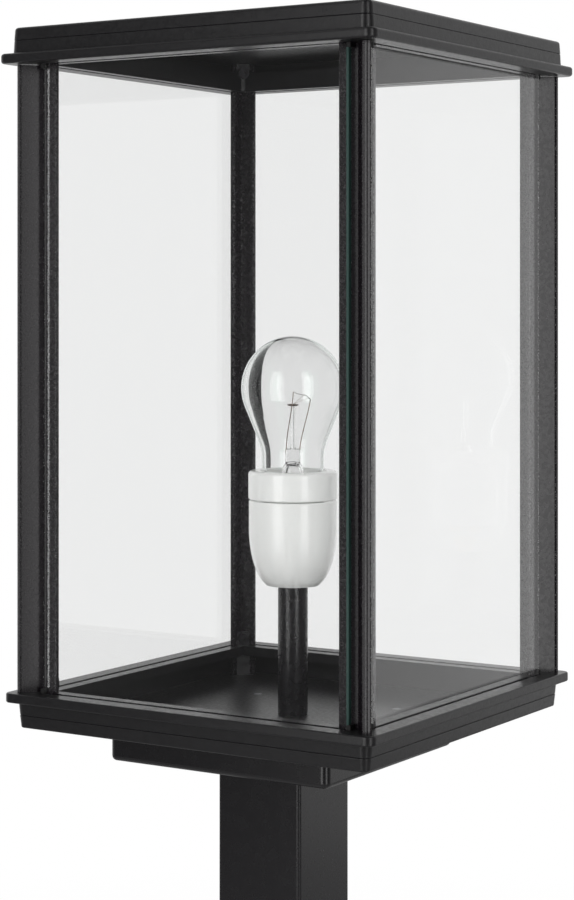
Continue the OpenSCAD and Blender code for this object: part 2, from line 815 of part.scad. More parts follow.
module terminal_screws() {
    head_h = terminal_head_h;
    low = cup_z + cup_well + fit_gap - terminal_w - head_h;
    color(zinc) for (k = [-1, 1]) translate([k * terminal_x, 0, low]) difference() {
        union() {
            cylinder(h = head_h, r = terminal_head_r);
            cylinder(h = head_h + terminal_w / 2, r = terminal_screw_r);
        }
        translate([-terminal_w / 2, -terminal_slot_w / 2, -eps]) cube([terminal_w, terminal_slot_w, head_h / 2]);
    }
}

// Bulb

// Outline of the glass from the top down to its tail in the screw cap, shrunk by a wall
function globe_outline(shrink) = let (r = globe_d / 2 - shrink, neck = neck_d / 2 - shrink, low = cap_top - globe_c,
        tail = glass_tail_r - shrink, lean = tan(globe_bend), bend_z = -r * sin(globe_bend),
        bend_r = r * cos(globe_bend), meet_z = bend_z - (bend_r - neck) / lean)
    concat([for (k = [0 : 20]) let (a = 90 - (90 + globe_bend) * k / 20) [r * cos(a), r * sin(a)]],
        [for (k = [0 : 8]) let (t = k / 8) [neck + neck_blend * lean * pow(1 - t, 2),
            meet_z + neck_blend * (1 - 2 * t)]],
        [[neck, low + seat_h], [neck - seat_mid[0], low + seat_mid[1]], [tail + seat_low[0], low + seat_low[1]],
            [tail, low + hole_gap], [tail, glass_foot - globe_c]]);

module bulb_glass() {
    outer = globe_outline(0);
    inner = globe_outline(bulb_wall);
    n = len(inner);
    color(clear) translate([0, 0, globe_c]) rotate_extrude($fn = 96)
        polygon(concat([[0, outer[0][1]]], [for (i = [1 : n - 1]) outer[i]],
            [for (i = [1 : n - 1]) inner[n - i]], [[0, inner[0][1]]]));
}

module bulb_cap() {
    color(nickel) translate([0, 0, cap_z]) tube(cap_r, cap_r - cap_wall, cap_h);
}

module bulb_insulator() {
    seat = cap_r - cap_wall;
    high = cap_drop - tip_t;
    color("#18181a") translate([0, 0, tip_z + tip_t]) rotate_extrude()
        polygon([[0, 0], [tip_r + insulator_lip, 0], [cap_r - insulator_in, high - insulator_edge], [seat, high],
            [seat, high + insulator_plug], [0, high + insulator_plug]]);
}

module bulb_tip() {
    color(nickel) translate([0, 0, tip_z]) rotate_extrude()
        polygon([[0, 0], [tip_r - 2 * tip_round, 0], [tip_r, tip_round], [tip_r, tip_t], [0, tip_t]]);
}

// Flared foot, tube, pinch, rod and button that carry the wires
module bulb_stem() {
    foot_z = glass_foot - hole_gap;
    up = pinch_top - pinch_h - foot_z;
    color(clear) rotate(mount_angle) {
        translate([0, 0, foot_z - 1.2]) rotate_extrude() polygon([[flare_r, 0], [flare_r, 1.2], [9, 4], [7.2, 9],
            [6.6, up - 3], [5.4, up], [0, up + 1.8], [0, up], [4.6, up - 1.4], [5.6, up - 4], [6.2, 9],
            [8, 3.4], [flare_r - 1.4, 0]]);
        translate([-pinch_w / 2, -1.5, pinch_top - pinch_h - 1]) cube([pinch_w, 3, pinch_h + 1]);
        translate([0, 0, pinch_top - eps]) cylinder(h = rod_top - pinch_top, r = rod_r);
        translate([0, 0, rod_top - 1]) cylinder(h = 2, r = button_r);
    }
}

// Straight lengths of wire through a list of points, each end let into the next length
module wire(points, r) {
    for (i = [0 : len(points) - 2]) let (d = points[i + 1] - points[i], flat = norm([d[0], d[1]]))
        translate(points[i]) rotate([0, atan2(flat, d[2]), atan2(d[1], d[0])]) cylinder(h = norm(d), r = r, $fn = 16);
}

// Point on the filament's tilted arc, at an angle round the lamp's axis
function on_filament(angle) = let (t = filament_tilt, m = filament_mid, c = (1 - cos(t)) * cos(angle - m))
    filament_arc_r * [cos(t) * cos(angle) + c * cos(m), cos(t) * sin(angle) + c * sin(m), sin(angle - m) * sin(t)]
    + [0, 0, filament_z];

module lead_wires() {
    down = [0, 0, lead_r + filament_r];
    color(nickel) rotate(mount_angle) {
        wire([[-lead_x, 0, pinch_top], on_filament(filament_from) - down], lead_r);
        wire([[lead_x, 0, pinch_top], on_filament(filament_from + filament_sweep) - down], lead_r);
    }
}

// Two supports that reach from the button to the filament
module support_wires() {
    color(zinc) rotate(mount_angle) for (k = [1, 2])
        let (tip = on_filament(filament_from + filament_sweep * k / 3) - [0, 0, support_r + filament_r])
            wire([[0, 0, rod_top + 1 + support_r] + [tip[0], tip[1], 0] / filament_arc_r, tip], support_r);
}

module filament() {
    color("#6a625c") rotate(mount_angle) translate([0, 0, filament_z])
        rotate(a = filament_tilt, v = [cos(filament_mid), sin(filament_mid), 0])
            rotate(filament_from) rotate_extrude(angle = filament_sweep) translate([filament_arc_r, 0])
                circle(r = filament_r, $fn = 16);
}

base_flange();
column_tube();
head_plate();
neck_box();
neck_set_screw();
tray_studs();
stud_nuts();
terminal_block();
block_screw();
earth_screw();
floor_tray();
post_front_left();
post_front_right();
post_back_left();
post_back_right();
corner_screws_low();
corner_screws_high();
pane_cushions();
pane_stops();
pane_front();
pane_right();
pane_back();
pane_left();
roof_cap();
roof_stops();
stem_tube();
threaded_tube();
tube_bush();
stem_washer();
stem_nut();
holder_nut();
holder_cup();
holder_ring();
holder_insert();
holder_shell();
centre_contact();
holder_terminals();
terminal_screws();
bulb_glass();
bulb_cap();
bulb_insulator();
bulb_tip();
bulb_stem();
lead_wires();
support_wires();
filament();
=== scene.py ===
# Post-top garden lantern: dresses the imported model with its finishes, glass, lamp and light.
import bpy
import json
from math import atan2, copysign, cos, pi, radians, sin, tan
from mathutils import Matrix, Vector


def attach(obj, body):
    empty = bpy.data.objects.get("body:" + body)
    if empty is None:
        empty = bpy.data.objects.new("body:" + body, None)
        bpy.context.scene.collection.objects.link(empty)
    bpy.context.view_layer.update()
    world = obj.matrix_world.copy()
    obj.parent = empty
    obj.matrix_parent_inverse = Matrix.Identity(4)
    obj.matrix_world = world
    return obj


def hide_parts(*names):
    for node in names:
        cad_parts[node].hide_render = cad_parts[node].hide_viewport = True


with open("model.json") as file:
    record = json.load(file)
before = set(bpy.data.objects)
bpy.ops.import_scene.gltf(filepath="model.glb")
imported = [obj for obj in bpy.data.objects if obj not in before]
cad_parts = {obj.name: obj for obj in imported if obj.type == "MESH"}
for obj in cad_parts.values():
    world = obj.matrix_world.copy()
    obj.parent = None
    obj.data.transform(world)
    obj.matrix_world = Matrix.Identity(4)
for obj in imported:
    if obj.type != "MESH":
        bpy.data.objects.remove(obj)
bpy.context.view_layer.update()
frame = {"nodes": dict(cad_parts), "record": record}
nodes = frame["nodes"]
mm = 0.001
bpy.ops.object.select_all(action="DESELECT")
print("frame loaded")


# Finishes

def linear(hexColour):
    # sRGB hex to the linear values that shaders take
    parts = [int(hexColour[i:i + 2], 16) / 255 for i in (1, 3, 5)]
    return tuple(c / 12.92 if c <= 0.04045 else ((c + 0.055) / 1.055) ** 2.4 for c in parts) + (1.0,)


def addNode(tree, kind, links=None, values=None, **settings):
    # one node: settings are its own, values its sockets', links maps a socket to (node, output)
    node = tree.nodes.new(kind)
    for name, value in settings.items():
        setattr(node, name, value)
    for key, value in (values or {}).items():
        node.inputs[key].default_value = value
    for key, (source, output) in (links or {}).items():
        tree.links.new(source.outputs[output], node.inputs[key])
    return node


def newMaterial(name):
    material = bpy.data.materials.new(name)
    material.use_nodes = True
    tree = material.node_tree
    tree.nodes.clear()
    return material, tree, addNode(tree, "ShaderNodeOutputMaterial")


def shadedColour(tree, place, colour, sizeMm, amount, detail=3.0):
    # the colour, a little darker and lighter in clouds of a real size
    clouds = addNode(tree, "ShaderNodeTexNoise", {"Vector": (place, "Object")},
                     {"Scale": 1 / (sizeMm * mm), "Detail": detail, "Roughness": 0.6})
    dark, light = [tuple(min(1, c * f) for c in linear(colour)[:3]) + (1.0,)
                   for f in (1 - amount, 1 + amount)]
    return addNode(tree, "ShaderNodeMix", {"Factor": (clouds, "Fac")}, {"A": dark, "B": light},
                   data_type="RGBA")


def solidFinish(name, look):
    # opaque finish: base colour in faint clouds, uneven gloss and a fine relief, all sized in millimetres
    material, tree, output = newMaterial(name)
    place = addNode(tree, "ShaderNodeTexCoord")
    tint = shadedColour(tree, place, look["colour"], look["cloudMm"], look["cloud"])
    shader = addNode(tree, "ShaderNodeBsdfPrincipled", {"Base Color": (tint, "Result")},
                     {"Roughness": look["roughness"], "Metallic": look.get("metallic", 0.0),
                      "Specular IOR Level": look.get("specular", 0.5), "Coat Weight": look.get("coat", 0.0),
                      "Coat Roughness": look.get("coatRoughness", 0.05)})
    if look.get("metallic", 0.0) == 0.0:
        shader.inputs["IOR"].default_value = look.get("ior", 1.5)
    if "glossMm" in look:
        patches = addNode(tree, "ShaderNodeTexNoise", {"Vector": (place, "Object")},
                          {"Scale": 1 / (look["glossMm"] * mm), "Detail": 2.0})
        spread = look["glossSpread"]
        gloss = addNode(tree, "ShaderNodeMapRange", {"Value": (patches, "Fac")},
                        {"From Min": 0.3, "From Max": 0.7, "To Min": look["roughness"] - spread,
                         "To Max": look["roughness"] + spread})
        tree.links.new(gloss.outputs["Result"], shader.inputs["Roughness"])
    if "reliefMm" in look:
        grain = addNode(tree, "ShaderNodeTexNoise", {"Vector": (place, "Object")},
                        {"Scale": 1 / (look["reliefMm"] * mm), "Detail": look.get("reliefDetail", 1.5),
                         "Roughness": 0.5})
        relief = addNode(tree, "ShaderNodeBump", {"Height": (grain, "Fac")},
                         {"Strength": look["relief"], "Distance": look.get("reliefDeepMm", 0.08) * mm})
        tree.links.new(relief.outputs["Normal"], shader.inputs["Normal"])
    tree.links.new(shader.outputs["BSDF"], output.inputs["Surface"])
    return material


def glassFinish(name, look):
    # clear glass whose body drinks a little light, so a long path through it turns green
    material, tree, output = newMaterial(name)
    shader = addNode(tree, "ShaderNodeBsdfPrincipled", None,
                     {"Base Color": (1, 1, 1, 1), "Roughness": look["roughness"], "IOR": look["ior"],
                      "Transmission Weight": 1.0})
    body = addNode(tree, "ShaderNodeVolumeAbsorption", None,
                   {"Color": linear(look["tint"]), "Density": look["density"]})
    tree.links.new(shader.outputs["BSDF"], output.inputs["Surface"])
    tree.links.new(body.outputs["Volume"], output.inputs["Volume"])
    return material


# What each finish is made of, by the record's slot; sizes in millimetres
looks = {
    # polyester powder coat, satin, baked on smooth sheet and tube: soft black with a faint violet cast
    "black_coat": ("powderCoatSatin", {"colour": "#0d0b0e", "cloudMm": 9, "cloud": 0.12, "roughness": 0.27,
                   "glossMm": 7, "glossSpread": 0.012, "reliefMm": 1.6, "relief": 0.12, "reliefDeepMm": 0.03}),
    # bright zinc plate: cool grey with cloudy gloss
    "zinc_steel": ("zincPlateBright", {"colour": "#9c9fa2", "cloudMm": 2, "cloud": 0.12, "roughness": 0.34,
                   "metallic": 1.0, "glossMm": 1.5, "glossSpread": 0.06}),
    # drawn brass strip: warm yellow, slightly stained
    "brass": ("brassDrawn", {"colour": "#b4964f", "cloudMm": 3, "cloud": 0.12, "roughness": 0.3,
              "metallic": 1.0, "glossMm": 2, "glossSpread": 0.06}),
    # nickel on rolled brass: bright, a little warm
    "cap_nickel": ("nickelPlateBright", {"colour": "#c6c5c0", "cloudMm": 3, "cloud": 0.06, "roughness": 0.2,
                   "metallic": 1.0, "glossMm": 2, "glossSpread": 0.05}),
    # glazed electrical porcelain: cool white under a thick clear glaze with a slow wave in it
    "porcelain": ("porcelainGlazed", {"colour": "#eff0ee", "cloudMm": 14, "cloud": 0.025, "roughness": 0.32,
                  "coat": 0.8, "coatRoughness": 0.06, "reliefMm": 9, "relief": 0.12, "reliefDeepMm": 0.1}),
    # neoprene: dull black, slightly bloomed
    "rubber": ("neopreneBlack", {"colour": "#121212", "cloudMm": 1.5, "cloud": 0.2, "roughness": 0.72,
               "reliefMm": 0.5, "relief": 0.3}),
    # moulded polyamide: warm white, satin
    "white_plastic": ("polyamideMoulded", {"colour": "#dedcd3", "cloudMm": 5, "cloud": 0.03, "roughness": 0.45,
                      "reliefMm": 0.6, "relief": 0.15}),
    # fused black glass of the lamp's cap
    "black_insulator": ("vitriteFused", {"colour": "#0b0b0d", "cloudMm": 3, "cloud": 0.2, "roughness": 0.12}),
    # nickel-iron wire: dark warm grey
    "wire": ("nickelIronWire", {"colour": "#8b7a6f", "cloudMm": 1, "cloud": 0.1, "roughness": 0.4,
             "metallic": 1.0}),
    # wound tungsten: nearly black grey
    "tungsten": ("tungstenWound", {"colour": "#8a8582", "cloudMm": 1, "cloud": 0.1, "roughness": 0.45,
                 "metallic": 1.0}),
}
finishes = {slot: solidFinish(name, look) for slot, (name, look) in looks.items()}
# float glass: clear across, green along; blown lamp glass: clear and thin
finishes["pane_glass"] = glassFinish("floatGlassClear", {"tint": "#94a6a0", "density": 6.0, "ior": 1.52,
                                                         "roughness": 0.0})
finishes["lamp_glass"] = glassFinish("lampGlassBlown", {"tint": "#b9d6ca", "density": 3.0, "ior": 1.5,
                                                        "roughness": 0.0})
# the rod's button, glass fired brown round the supports
amberGlass = glassFinish("mountGlassAmber", {"tint": "#b5793c", "density": 380.0, "ior": 1.5,
                                             "roughness": 0.05})
# the panes' seamed edges scatter the green light that runs along inside the glass
paneEdge = solidFinish("floatGlassSeamedEdge",
                       {"colour": "#2c4742", "cloudMm": 60, "cloud": 0.1, "roughness": 0.5, "specular": 0.4,
                        "ior": 1.52, "glossMm": 40, "glossSpread": 0.05})
# fine-texture powder coat on the cast roof and tray: duller and grainy; its grain is drawn at 1.1 mm
# because the real 0.3 mm doesn't show at this size
coatCast = solidFinish("powderCoatFineTexture",
                       {"colour": "#0e0d0f", "cloudMm": 5, "cloud": 0.16, "roughness": 0.34, "specular": 0.42,
                        "glossMm": 2.2, "glossSpread": 0.05, "reliefMm": 1.1, "relief": 0.6,
                        "reliefDeepMm": 0.1})
# the coat on the drawn posts: satin with a tight grain that makes their beads sparkle, drawn at 0.8 mm
# for the same reason
coatPost = solidFinish("powderCoatExtrusion",
                       {"colour": "#100c10", "cloudMm": 4, "cloud": 0.14, "roughness": 0.27, "glossMm": 2.2,
                        "glossSpread": 0.04, "reliefMm": 0.8, "relief": 0.3, "reliefDeepMm": 0.05})
# black oxide on the corner screws: soft grey-black, slightly oily
screwBlack = solidFinish("blackOxideSteel", {"colour": "#2b2a2c", "cloudMm": 1.5, "cloud": 0.15,
                                             "roughness": 0.4, "metallic": 1.0})

slotOf = {row["node"]: row["material_slot"] for row in frame["record"]["subparts"]}
ownFinish = {"corner_screws_low": screwBlack, "corner_screws_high": screwBlack, "roof_cap": coatCast,
             "floor_tray": coatCast}
for name, node in nodes.items():
    node.data.materials.clear()
    node.data.materials.append(ownFinish.get(name) or finishes[slotOf[name]])
# the photograph shows no mirror image of the lamp in the side glass
for name in ("holder_cup", "holder_ring"):
    nodes[name].visible_glossy = False
print("finishes on")


# New pieces are drawn in millimetres and shaped in edit mode

def pick(piece):
    bpy.ops.object.select_all(action="DESELECT")
    piece.select_set(True)
    bpy.context.view_layer.objects.active = piece


def turnPiece(piece, degrees):
    # turned about the upright axis, with the turn in the mesh
    piece.rotation_euler.z = radians(degrees)
    pick(piece)
    bpy.ops.object.transform_apply(location=False, rotation=True, scale=False)


def drawOutline(points):
    # an outline drawn point by point from a plane shrunk to one vertex; left selected in edit mode
    bpy.ops.object.select_all(action="DESELECT")
    bpy.ops.mesh.primitive_plane_add(size=mm, location=Vector(points[0]) * mm)
    bpy.ops.object.mode_set(mode="EDIT")
    bpy.ops.mesh.merge(type="CENTER")
    for here, there in zip(points, points[1:]):
        step = (Vector(there) - Vector(here)) * mm
        bpy.ops.mesh.extrude_region_move(TRANSFORM_OT_translate={"value": step})
    bpy.ops.mesh.select_all(action="SELECT")
    return bpy.context.object


mergeGap = 0.002  # points nearer than this are one point


def closeMesh(piece):
    # back to object mode with the place in the mesh, seams merged and faces outwards
    bpy.ops.mesh.select_all(action="SELECT")
    bpy.ops.mesh.remove_doubles(threshold=mergeGap * mm)
    bpy.ops.mesh.normals_make_consistent(inside=False)
    bpy.ops.object.mode_set(mode="OBJECT")
    pick(piece)
    bpy.ops.object.transform_apply(location=True, rotation=True, scale=True)
    return piece


def bar(outline, low, high):
    # a flat outline pulled up into a bar
    piece = drawOutline([(x, y, low) for x, y in outline])
    bpy.ops.mesh.edge_face_add()
    bpy.ops.mesh.extrude_region_move(TRANSFORM_OT_translate={"value": (0, 0, (high - low) * mm)})
    return closeMesh(piece)


def turned(profile, steps):
    # a profile of radius and height spun round the lamp's axis
    piece = drawOutline([(r, 0, z) for r, z in profile])
    bpy.ops.mesh.spin(steps=steps, angle=2 * pi, center=(0, 0, 0), axis=(0, 0, 1))
    return closeMesh(piece)


def block(centre, size, edge, segments):
    # a block with its edges bevelled
    bpy.ops.object.select_all(action="DESELECT")
    bpy.ops.mesh.primitive_cube_add(size=1, location=Vector(centre) * mm)
    piece = bpy.context.object
    piece.scale = Vector(size) * mm
    bpy.ops.object.transform_apply(location=True, rotation=True, scale=True)
    bevel = piece.modifiers.new("edges", "BEVEL")
    bevel.width = edge * mm
    bevel.segments = segments
    bpy.ops.object.modifier_apply(modifier=bevel.name)
    return piece


def join(piece, other):
    # other is merged into piece
    union = piece.modifiers.new("union", "BOOLEAN")
    union.operation = "UNION"
    union.object = other
    pick(piece)
    bpy.ops.object.modifier_apply(modifier=union.name)
    bpy.data.objects.remove(other)


def rounded(points, radii, steps=4):
    # the outline with its corners turned by their radii
    corners = [Vector(p) for p in points]
    path = []
    for i, (here, r) in enumerate(zip(corners, radii)):
        into = (here - corners[i - 1]).normalized()
        out = (corners[(i + 1) % len(corners)] - here).normalized()
        turn = atan2(into.cross(out), into.dot(out))
        if r == 0:
            path.append(tuple(here))
            continue
        start = here - into * (r * tan(abs(turn) / 2))
        side = copysign(1, turn)
        centre = start + Vector((-into.y, into.x)) * (r * side)
        spoke = start - centre
        for k in range(steps + 1):
            a = turn * k / steps
            path.append((centre.x + spoke.x * cos(a) - spoke.y * sin(a),
                         centre.y + spoke.x * sin(a) + spoke.y * cos(a)))
    return path


def finishPiece(piece, name, material, smoothAngle, body, slot, *replaced):
    piece.name = name
    piece.data.materials.clear()
    piece.data.materials.append(material)
    pick(piece)
    bpy.ops.object.shade_smooth_by_angle(angle=radians(smoothAngle))
    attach(piece, body)
    if replaced:
        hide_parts(*replaced)
    return piece


# Corner posts: an extrusion with two beads on its nose, slanted webs, and two legs behind the glass
postSettings = {"half": 116.0, "low": 419.0, "high": 778.7, "legLow": 400.5, "legHigh": 796.7,
                "beads": [((1.6, 1.0), 200, 225, 4), ((2.3, 0.3), 225, 412.5, 14)], "beadRadius": 1.0,
                "web": [(9.8, 8.65), (10.1, 9.0), (11.57, 10.3)], "legEnd": [(22.5, 10.3), (22.5, 13.3)],
                "edge": 0.8, "back": 13.3, "backRadius": 0.5,
                "leg": [(10.3, 10.3), (22.5, 10.3), (22.5, 13.3), (13.3, 13.3), (13.3, 22.5), (10.3, 22.5)],
                "legRadii": [0, 0.8, 0.8, 0.5, 0.8, 0.8], "smooth": 30}


def addPosts(s):
    bead = []
    for (x, y), start, end, steps in s["beads"]:
        for k in range(steps + 1):
            a = radians(start + (end - start) * k / steps)
            bead.append((x + s["beadRadius"] * cos(a), y + s["beadRadius"] * sin(a)))
    half = bead + s["web"] + s["legEnd"]
    halfRadii = [0] * (len(bead) + len(s["web"])) + [s["edge"]] * 2
    outline = half + [(s["back"], s["back"])] + [(y, x) for x, y in reversed(half)]
    radii = halfRadii + [s["backRadius"]] + halfRadii[::-1]
    # drawn inwards from the corner, then set at the lantern's front right
    section, leg = [[(s["half"] - x, y - s["half"]) for x, y in path]
                    for path in (rounded(outline, radii), rounded(s["leg"], s["legRadii"]))]
    post = bar(section, s["low"], s["high"])
    join(post, bar(leg, s["legLow"], s["legHigh"]))
    names = {"post_front_right": 0, "post_back_right": 90, "post_back_left": 180, "post_front_left": 270}
    for name, turn in names.items():
        copy = post
        if turn:
            copy = post.copy()
            copy.data = post.data.copy()
            bpy.context.collection.objects.link(copy)
            turnPiece(copy, turn)
        finishPiece(copy, "extruded_" + name, coatPost, s["smooth"], "stand", "black_coat", name)


addPosts(postSettings)
print("posts built")

# Panes: float glass with seamed edges, their ends just inside the stops
paneSettings = {"half": 101.0, "out": 110.5, "in": 106.0, "low": 415.8, "high": 784.0, "seam": 0.9,
                "seamSteps": 1, "smooth": 1}


def addPanes(s):
    thick, middle = s["out"] - s["in"], (s["out"] + s["in"]) / 2
    sides = {"pane_front": (0, -1), "pane_back": (0, 1), "pane_right": (1, 0), "pane_left": (-1, 0)}
    for name, (x, y) in sides.items():
        wide, deep = (thick, 2 * s["half"]) if x else (2 * s["half"], thick)
        pane = block((x * middle, y * middle, (s["low"] + s["high"]) / 2),
                     (wide, deep, s["high"] - s["low"]), s["seam"], s["seamSteps"])
        finishPiece(pane, "glass_" + name, finishes["pane_glass"], s["smooth"], "stand", "pane_glass", name)
        pane.data.materials.append(paneEdge)
        pane.visible_shadow = False
        for face in pane.data.polygons:  # only the front and back panes' right ends look green
            face.material_index = 1 if not x and face.normal.x > 0.5 else 0


addPanes(paneSettings)
print("panes built")

# The lamp: a blown globe, its glass mount, fine wires and a threaded cap; heights from the ground
lampSettings = {"centre": 592.2, "radius": 30.4, "bend": 22, "neck": 18.2, "blend": 5.5, "wall": 1.15,
                "seat": 538.5, "tail": 12.5, "foot": 526.5,
                "seatCurve": [(18.2, 7.0), (17.6, 5.4), (16.4, 3.9), (15.0, 2.5), (13.6, 1.4), (12.6, 0.6)],
                "ballSteps": 34, "blendSteps": 12, "steps": 128, "smooth": 60}


def globeOutline(s, shrink):
    # from the top: the ball, a straight lean blended into the neck, and the seat's curve down to the tail
    r, neck, lean = s["radius"] - shrink, s["neck"] - shrink, tan(radians(s["bend"]))
    lowZ, lowR = -r * sin(radians(s["bend"])), r * cos(radians(s["bend"]))
    meet = lowZ - (lowR - neck) / lean
    ball = [radians(90 - (90 + s["bend"]) * k / s["ballSteps"]) for k in range(s["ballSteps"] + 1)]
    path = [(r * cos(a), s["centre"] + r * sin(a)) for a in ball]
    for k in range(s["blendSteps"] + 1):
        t = k / s["blendSteps"]
        path.append((neck + s["blend"] * lean * (1 - t) ** 2, s["centre"] + meet + s["blend"] * (1 - 2 * t)))
    path += [(x - shrink, s["seat"] + z) for x, z in s["seatCurve"]]
    return path + [(s["tail"] - shrink, s["foot"])]


def addGlobe(s):
    outer, inner = globeOutline(s, 0), globeOutline(s, s["wall"])
    outer[0], inner[0] = (0, outer[0][1]), (0, inner[0][1])
    globe = turned(outer + inner[::-1], s["steps"])
    finishPiece(globe, "blownGlobe", finishes["lamp_glass"], s["smooth"], "bulb", "lamp_glass", "bulb_glass")
    globe.visible_shadow = globe.visible_glossy = False


addGlobe(lampSettings)

# The mount inside: flare, tube, pinch, rod and amber button, all one piece of glass but the button
mountSettings = {"turn": 32, "foot": 525.4,
                 "flare": [(11.5, 0), (11.5, 1.1), (10.0, 2.6), (8.4, 5.2), (7.2, 9.0), (6.7, 14), (6.3, 18.5),
                           (5.4, 21.2), (3.6, 23.0), (0, 23.8)],
                 "hollow": [(0, 21.8), (3.2, 21.2), (4.5, 19.4), (5.4, 16.5), (5.8, 9.4), (7.0, 5.0),
                            (8.8, 2.2), (10.2, 0)],
                 "pinch": (8.8, 3.4), "pinchLow": 546.4, "pinchHigh": 556.6, "pinchRound": 1.1,
                 "rod": [(0, 555.4), (1.9, 555.8), (1.4, 557.6), (1.25, 560), (1.25, 580.4), (0.9, 581.4),
                         (0, 581.6)],
                 "button": [(0, 581.3), (1.6, 581.35), (3.0, 581.7), (3.5, 582.1), (3.1, 582.55), (1.6, 582.8),
                            (0, 582.85)],
                 "steps": 64, "pinchSteps": 5, "rodSteps": 24, "buttonSteps": 32, "smooth": 50}


def addMount(s):
    ring = s["flare"] + s["hollow"] + s["flare"][:1]
    flare = turned([(r, s["foot"] + z) for r, z in ring], s["steps"])
    wide, deep = s["pinch"]
    join(flare, block((0, 0, (s["pinchLow"] + s["pinchHigh"]) / 2),
                      (wide, deep, s["pinchHigh"] - s["pinchLow"]), s["pinchRound"], s["pinchSteps"]))
    join(flare, turned(s["rod"], s["rodSteps"]))
    turnPiece(flare, s["turn"])
    finishPiece(flare, "glassMount", finishes["lamp_glass"], s["smooth"], "bulb", "lamp_glass", "bulb_stem")
    button = turned(s["button"], s["buttonSteps"])
    turnPiece(button, s["turn"])
    finishPiece(button, "rodButton", amberGlass, s["smooth"], "bulb", "lamp_glass")
    flare.visible_shadow = button.visible_shadow = False


addMount(mountSettings)

# Wires, in the mount's own frame: x across the pinch, y away from the camera; the filament is wound along
# the line called thread. A wire thinner than hair takes its path's points as they are
wireSettings = {"lead": 0.27, "hair": 0.08, "smooth": 60,
                "leftLead": [(-4, 0, 548.5), (-4, 0, 556), (-3.5, -1.3, 563), (-1.6, -5.2, 575),
                             (-0.2, -8.3, 584.5), (0.1, -9.1, 588.6), (0.2, -9.3, 590.2)],
                "rightLead": [(4, 0, 548.5), (4, 0, 556), (4.8, 0.2, 562), (7.4, 0.9, 572), (9.6, 1.6, 581),
                              (10.2, 1.8, 584.6)],
                "support": 0.1,
                "supports": [[(0, 0, 582.4), (2.5, -1.9, 584.6), (5.8, -4.4, 587.6), (7.6, -5.7, 588.3)],
                             [(0, 0, 582.4), (3.4, -0.9, 584.0), (7.4, -2.0, 585.9), (9.9, -2.5, 586.0)]],
                "thread": [(0.2, -9.3, 590.0), (4.0, -8.0, 588.6), (7.6, -5.7, 588.1), (9.3, -4.2, 586.5),
                           (9.9, -2.5, 585.8), (10.5, -0.4, 584.8), (10.2, 1.8, 584.4)],
                "coil": 0.26, "coilWire": 0.05, "coilTurns": 70, "coilSteps": 9}


def wireAlong(points, radius, corners=2):
    # a round wire on a smooth path, as a closed mesh
    bpy.ops.object.select_all(action="DESELECT")
    bpy.ops.curve.primitive_nurbs_path_add()
    wire = bpy.context.object
    line = wire.data.splines[0]
    if len(points) > len(line.points):
        line.points.add(len(points) - len(line.points))
    else:
        points = list(points) + [points[-1]] * (len(line.points) - len(points))
    for spot, point in zip(line.points, points):
        spot.co = (*(Vector(point) * mm), 1)
    line.order_u = 3
    line.use_endpoint_u = True
    line.resolution_u = 6 if radius > wireSettings["hair"] else 1
    wire.data.bevel_depth = radius * mm
    wire.data.bevel_resolution = corners
    wire.data.use_fill_caps = True
    bpy.ops.object.convert(target="MESH")
    return bpy.context.object


def together(pieces):
    bpy.ops.object.select_all(action="DESELECT")
    for piece in pieces:
        piece.select_set(True)
    bpy.context.view_layer.objects.active = pieces[0]
    bpy.ops.object.join()
    return bpy.context.object


def onPath(points, t):
    # a place along straight lengths, and the way on
    spans = [(Vector(b) - Vector(a)).length for a, b in zip(points, points[1:])]
    left = t * sum(spans)
    for a, b, span in zip(points, points[1:], spans):
        if left <= span:
            return Vector(a).lerp(Vector(b), left / span), (Vector(b) - Vector(a)).normalized()
        left -= span
    return Vector(points[-1]), (Vector(points[-1]) - Vector(points[-2])).normalized()


def addWires(s):
    leads = together([wireAlong(s["leftLead"], s["lead"]), wireAlong(s["rightLead"], s["lead"])])
    turnPiece(leads, mountSettings["turn"])
    finishPiece(leads, "leadWires", finishes["wire"], s["smooth"], "bulb", "wire", "lead_wires")
    supports = together([wireAlong(path, s["support"], 1) for path in s["supports"]])
    turnPiece(supports, mountSettings["turn"])
    finishPiece(supports, "supportWires", finishes["wire"], s["smooth"], "bulb", "wire", "support_wires")
    count = s["coilTurns"] * s["coilSteps"]
    helix = []
    for k in range(count + 1):
        spot, on = onPath(s["thread"], k / count)
        side = on.cross(Vector((0, 0, 1))).normalized()
        a = 2 * pi * k / s["coilSteps"]
        helix.append(tuple(spot + (side * cos(a) + side.cross(on) * sin(a)) * s["coil"]))
    coil = wireAlong(helix, s["coilWire"], 0)
    turnPiece(coil, mountSettings["turn"])
    finishPiece(coil, "coiledFilament", finishes["tungsten"], s["smooth"], "bulb", "tungsten", "filament")


addWires(wireSettings)

# Rolled screw threads of the cap and of the shell that takes it, both on one helix
threadSettings = {"pitch": 3.629, "deep": 0.95, "fade": 2.0, "steps": 96, "row": 0.45, "smooth": 40,
                  "cap": (13.1, 12.6, 516.5, 538.5), "shell": (13.9, 13.45, 518.5, 534.5)}


def threaded(size, s):
    # a thin ring pressed in along the helix; the press fades out at both ends
    outerR, innerR, low, high = size
    count = int((high - low) / s["row"])
    rise = [low + (high - low) * k / count for k in range(count + 1)]
    outline = [(outerR, z) for z in rise] + [(innerR, z) for z in reversed(rise)] + [(outerR, low)]
    piece = turned(outline, s["steps"])
    for vertex in piece.data.vertices:
        x, y, z = vertex.co / mm
        wave = (1 - cos(2 * pi * (z / s["pitch"] - atan2(y, x) / (2 * pi)))) / 2
        ends = max(0, min(1, (z - low) / s["fade"], (high - z) / s["fade"]))
        r = (x * x + y * y) ** 0.5
        vertex.co.xy *= (r - s["deep"] * wave * ends) / r
    return piece


